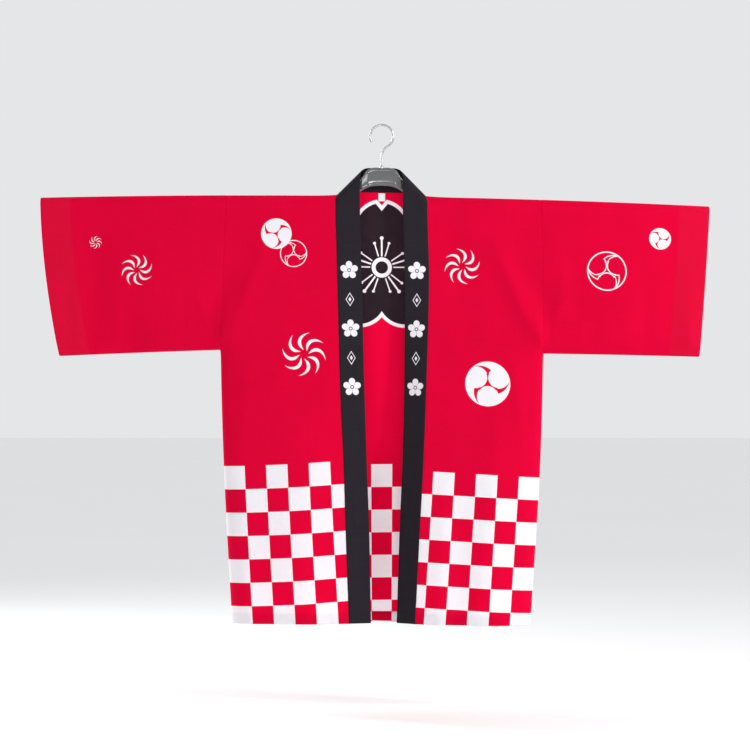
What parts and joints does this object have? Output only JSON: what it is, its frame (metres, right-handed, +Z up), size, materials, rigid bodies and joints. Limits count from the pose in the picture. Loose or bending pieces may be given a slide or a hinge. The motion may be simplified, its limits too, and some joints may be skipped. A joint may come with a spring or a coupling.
{
  "type": "happi coat on a hanger",
  "caption": "Short wide-sleeved festival coat, open in front with a long black collar band and a checked hem, hung on a level-armed plastic hanger with a wire hook.",
  "frame": {"origin": "the inner top of the hanger's hook, where a rail holds it", "axes": "+Z up, +X along the sleeves to the right as seen from the front, the coat's front faces -Y"},
  "size_m": [1.2831, 0.1374, 0.9626],
  "materials": {
    "red_cloth": "plain weave, dull, red with printed white checks and small round motifs",
    "black_cloth": "plain weave, dull black with small white printed flowers and diamonds",
    "white_tape": "blank woven tape",
    "grey_plastic": "moulded, glossy dark grey",
    "steel_wire": "bright plated wire"
  },
  "bodies": {
    "root": {"back": "red_cloth", "front_left": "red_cloth", "front_right": "red_cloth", "sleeve_left": "red_cloth", "sleeve_right": "red_cloth", "collar": "black_cloth", "neck_label": "white_tape", "hanger_yoke": "grey_plastic", "hanger_arm_left": "grey_plastic", "hanger_arm_right": "grey_plastic", "hanger_hook": "steel_wire"}
  },
  "joints": []
}
